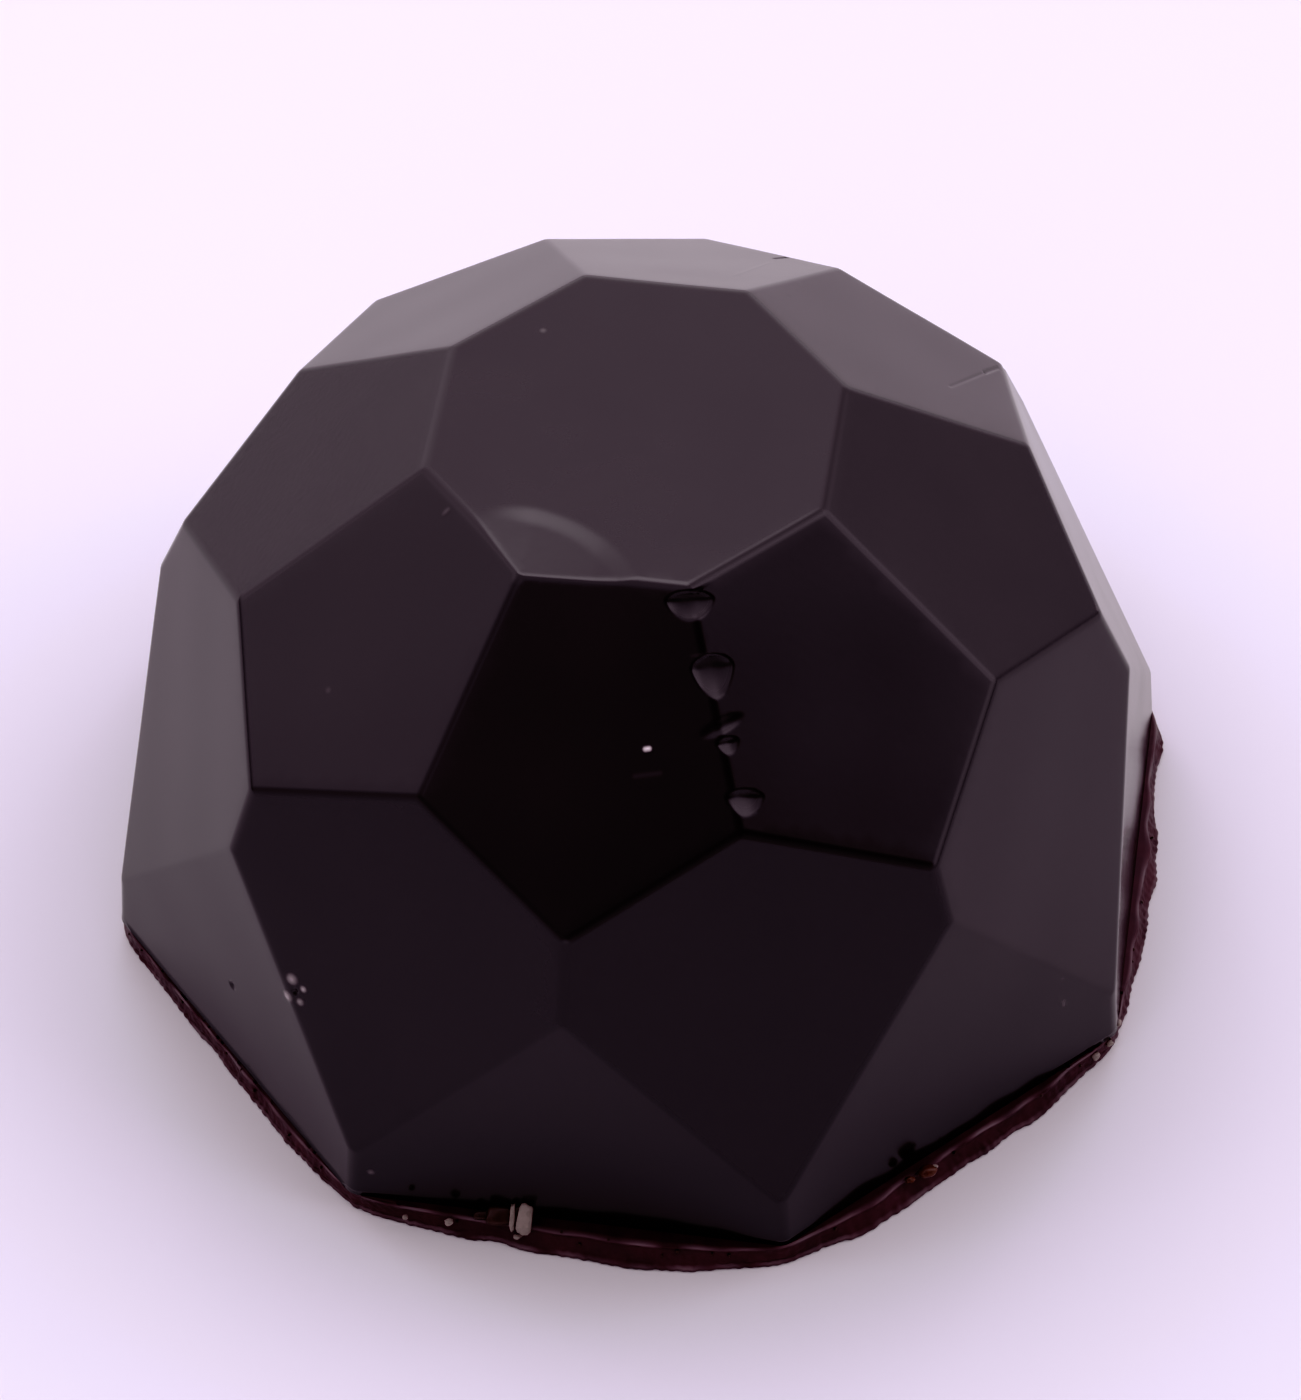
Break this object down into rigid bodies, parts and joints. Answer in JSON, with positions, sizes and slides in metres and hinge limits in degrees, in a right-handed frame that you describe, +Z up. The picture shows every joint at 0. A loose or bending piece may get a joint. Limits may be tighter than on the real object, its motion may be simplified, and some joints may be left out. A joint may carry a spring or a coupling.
{
  "type": "chocolate praline",
  "caption": "Faceted dark chocolate praline: a glossy moulded dome with a flat top, standing on a thin closing layer with a ragged rim.",
  "frame": {"origin": "the middle of the flat underside, on the surface that it stands on", "axes": "+Z up through the flat top, -Y out of the front facets, +X to the right of them"},
  "size_m": [0.0304, 0.0309, 0.0181],
  "materials": {
    "glossy_chocolate": "tempered dark chocolate with a mould gloss",
    "scraped_chocolate": "the same chocolate scraped level and snapped, redder and duller"
  },
  "bodies": {
    "root": {"chocolate_dome": "glossy_chocolate", "closing_layer": "scraped_chocolate"}
  },
  "joints": []
}
